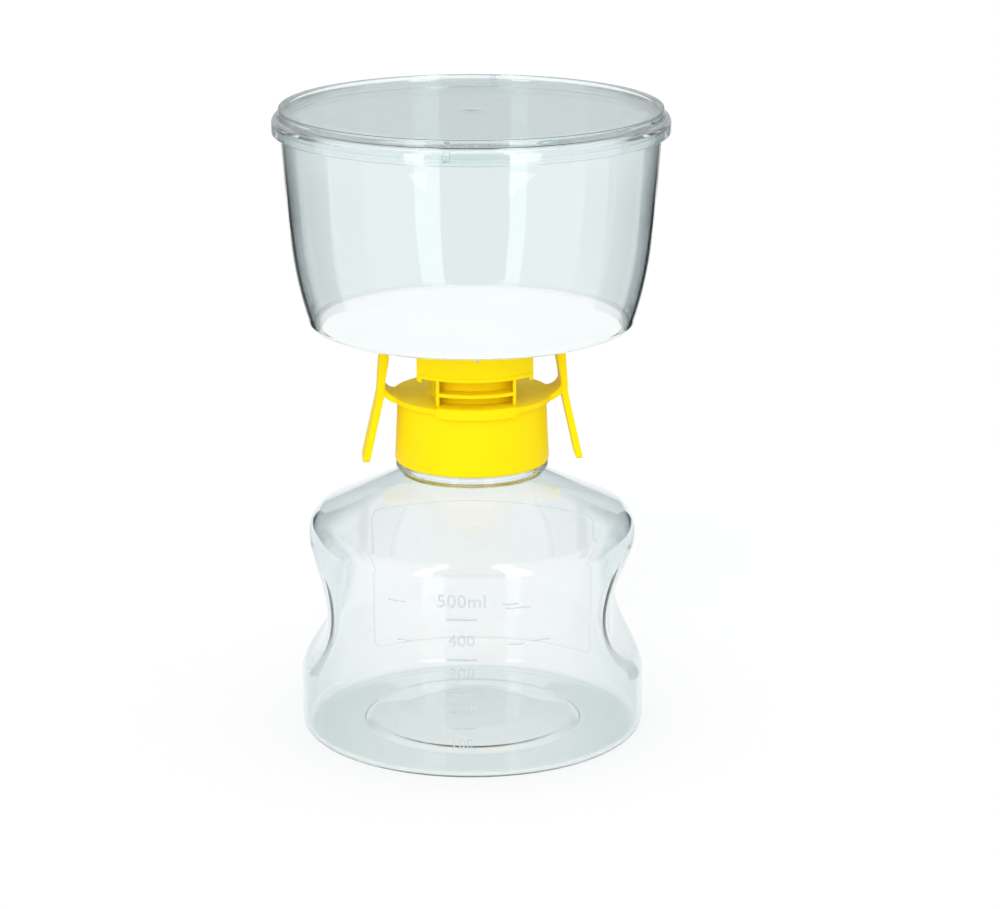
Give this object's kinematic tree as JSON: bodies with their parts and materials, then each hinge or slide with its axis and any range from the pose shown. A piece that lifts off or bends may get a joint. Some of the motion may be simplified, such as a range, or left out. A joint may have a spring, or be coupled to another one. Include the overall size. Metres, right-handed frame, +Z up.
{
  "type": "vacuum filtration unit",
  "caption": "Lidded clear funnel with a white membrane floor, joined by a yellow winged screw collar with a vacuum port to a clear receiver bottle with finger grips.",
  "frame": {"origin": "centre of the bottle's base, on the surface that it stands on", "axes": "+Z up along the bottle's axis, -Y towards the bottle's front scale, the two finger grips on +X and -X"},
  "size_m": [0.1294, 0.1294, 0.211],
  "materials": {
    "clear_polystyrene": "clear, polished",
    "yellow_polypropylene": "smooth, semi-gloss",
    "white_membrane": "matt",
    "white_gasket": "matt",
    "white_connector": "satin"
  },
  "bodies": {
    "bottle": {"receiver_bottle": "clear_polystyrene"},
    "seal": {"neck_gasket": "white_gasket"},
    "head": {"collar": "yellow_polypropylene", "hose_connector": "white_connector", "base_plate": "clear_polystyrene", "membrane": "white_membrane", "funnel": "clear_polystyrene", "lid": "clear_polystyrene"}
  },
  "joints": [
    {"name": "head_lift", "type": "slide", "parent": "bottle", "child": "seal", "axis": [0, 0, 1], "range_m": [0, 0.0071]},
    {"name": "head_turn", "type": "hinge", "parent": "seal", "child": "head", "pos_m": [0, 0, 0.11], "axis": [0, 0, 1], "range_deg": [0, 630]}
  ],
  "couplings": [
    {"joint": "head_lift", "follows": "head_turn", "m_per_rad": 0.00063662}
  ]
}
